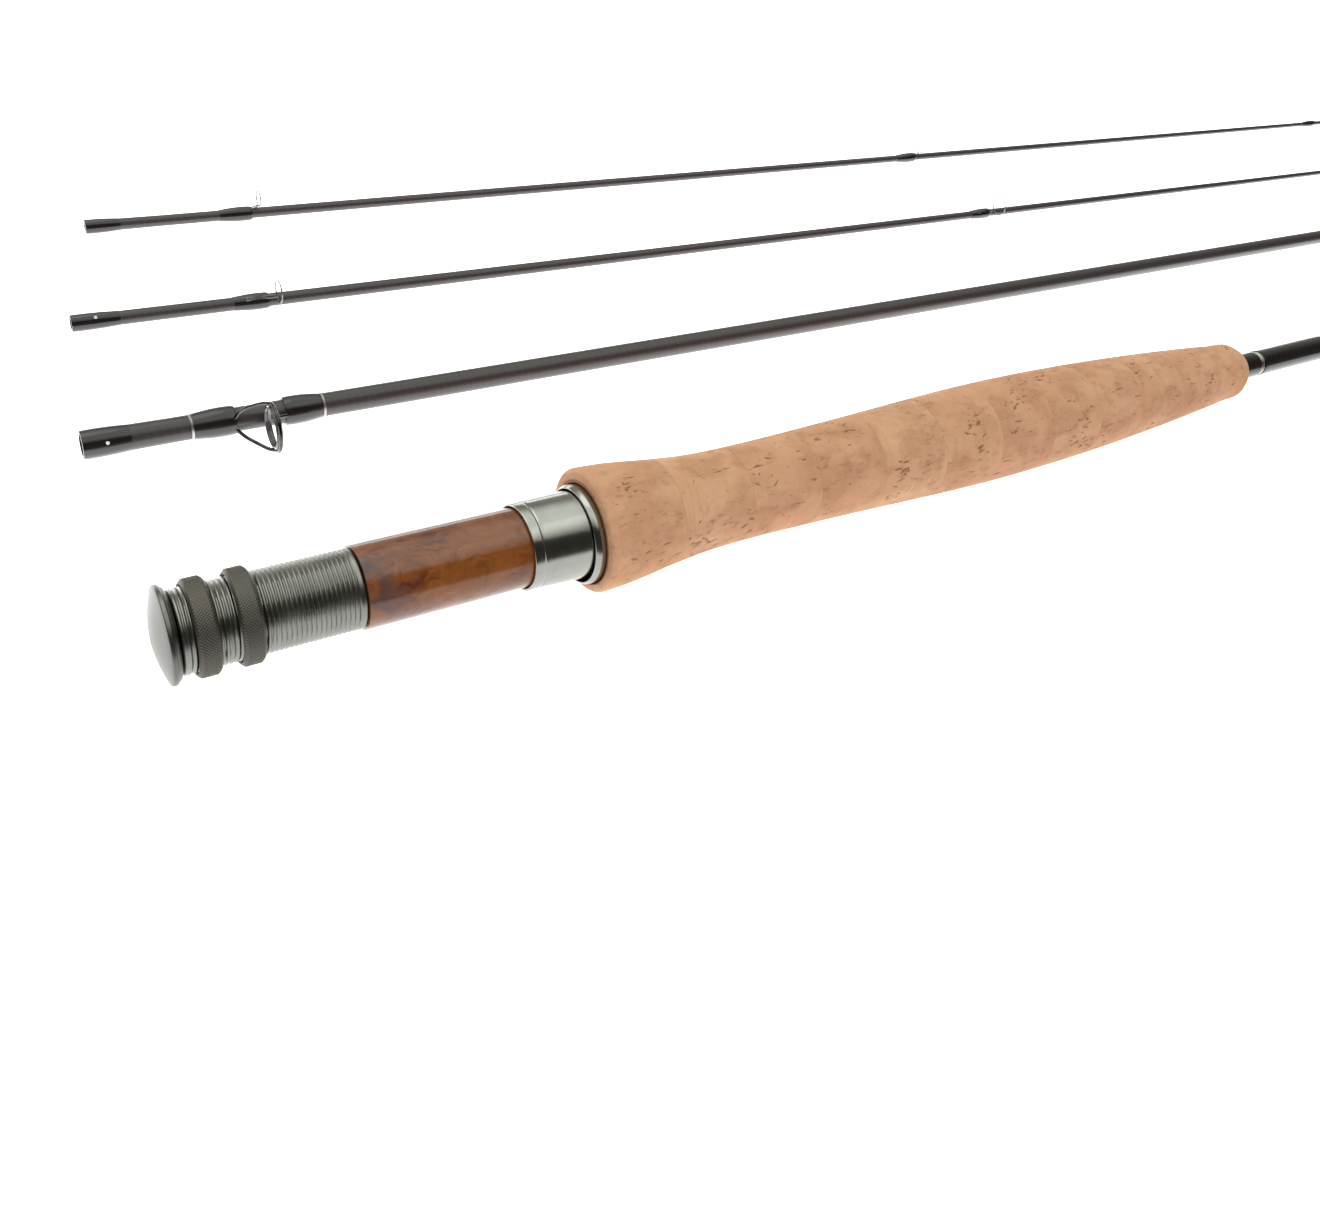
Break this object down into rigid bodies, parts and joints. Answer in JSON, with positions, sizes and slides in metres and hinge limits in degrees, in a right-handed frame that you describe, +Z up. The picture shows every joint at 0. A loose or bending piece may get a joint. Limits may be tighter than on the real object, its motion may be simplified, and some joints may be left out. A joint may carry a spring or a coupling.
{
  "type": "fly fishing rod",
  "caption": "Fly rod taken apart into its handle section and three upper sections, with cork grip, burl reel seat, spigot ferrules and line guides.",
  "frame": {"origin": "centre of the base of the laid-out rod, on the table", "axes": "+X along the sections, from butt to tip; +Y across, from the handle section towards the tip section; +Z up"},
  "size_m": [0.7326, 0.1802, 0.03],
  "materials": {
    "pewter_metal": "satin grey anodised",
    "knurled_metal": "fine knurl, matte dark grey",
    "polished_metal": "polished",
    "burl_wood": "figured burl, glossy varnish",
    "cork": "sanded cork",
    "graphite": "satin graphite composite",
    "winding": "black thread under gloss varnish",
    "silver_trim": "bright metallic thread",
    "guide_wire": "dark bright wire",
    "ceramic": "polished ceramic ring",
    "white_paint": "painted dot",
    "arbor_foam": "rigid foam"
  },
  "bodies": {
    "butt": {"butt_cap": "pewter_metal", "seat_barrel": "pewter_metal", "wood_insert": "burl_wood", "fixed_hood": "polished_metal", "seat_arbor_rear": "arbor_foam", "seat_arbor_front": "arbor_foam", "cork_ring_01": "cork", "cork_ring_02": "cork", "cork_ring_03": "cork", "cork_ring_04": "cork", "cork_ring_05": "cork", "cork_ring_06": "cork", "cork_ring_07": "cork", "cork_ring_08": "cork", "cork_ring_09": "cork", "cork_ring_10": "cork", "cork_ring_11": "cork", "cork_ring_12": "cork", "butt_blank": "graphite", "butt_spigot": "graphite", "winding_check": "silver_trim", "keeper_winding": "winding", "butt_trim_band_1": "silver_trim", "butt_trim_band_2": "silver_trim", "long_winding": "winding"},
    "lock_ring_front": {"lock_ring_front": "knurled_metal"},
    "lock_ring_rear": {"lock_ring_rear": "knurled_metal"},
    "sliding_hood": {"sliding_hood": "polished_metal"},
    "section_2": {"blank_2": "graphite", "spigot_2": "graphite", "ferrule_winding_2": "winding", "alignment_dot_2": "white_paint", "trim_band_rear": "silver_trim", "trim_band_front": "silver_trim", "strip_winding_rear": "winding", "strip_winding_front": "winding", "strip_guide_frame": "guide_wire", "strip_guide_insert": "ceramic", "ring_guide_2a": "guide_wire", "guide_winding_2a": "winding"},
    "section_3": {"blank_3": "graphite", "spigot_3": "graphite", "ferrule_winding_3": "winding", "alignment_dot_3": "white_paint", "ring_guide_3a": "guide_wire", "ring_guide_3b": "guide_wire", "ring_guide_3c": "guide_wire", "guide_winding_3a": "winding", "guide_winding_3b": "winding", "guide_winding_3c": "winding"},
    "section_4": {"blank_4": "graphite", "ferrule_winding_4": "winding", "ring_guide_4a": "guide_wire", "ring_guide_4b": "guide_wire", "ring_guide_4c": "guide_wire", "guide_winding_4a": "winding", "guide_winding_4b": "winding", "guide_winding_4c": "winding", "tip_top": "guide_wire", "tip_winding": "winding"}
  },
  "joints": [
    {"name": "hood_slide", "type": "slide", "parent": "butt", "child": "sliding_hood", "axis": [-1, 0, 0], "range_m": [0, 0.044]},
    {"name": "front_lock_ring_travel", "type": "slide", "parent": "butt", "child": "lock_ring_front", "axis": [1, 0, 0], "range_m": [0, 0.013]},
    {"name": "rear_lock_ring_travel", "type": "slide", "parent": "butt", "child": "lock_ring_rear", "axis": [1, 0, 0], "range_m": [0, 0.0033]},
    {"name": "section_2_lineup", "type": "slide", "parent": "butt", "child": "section_2", "axis": [0.9972, -0.0743, 0.0119], "range_m": [0, 0.94267]},
    {"name": "section_3_lineup", "type": "slide", "parent": "section_2", "child": "section_3", "axis": [0.9983, -0.0588, 0.0017], "range_m": [0, 0.82092]},
    {"name": "section_4_lineup", "type": "slide", "parent": "section_3", "child": "section_4", "axis": [0.9985, -0.0545, 0.0002], "range_m": [0, 0.81541]}
  ]
}
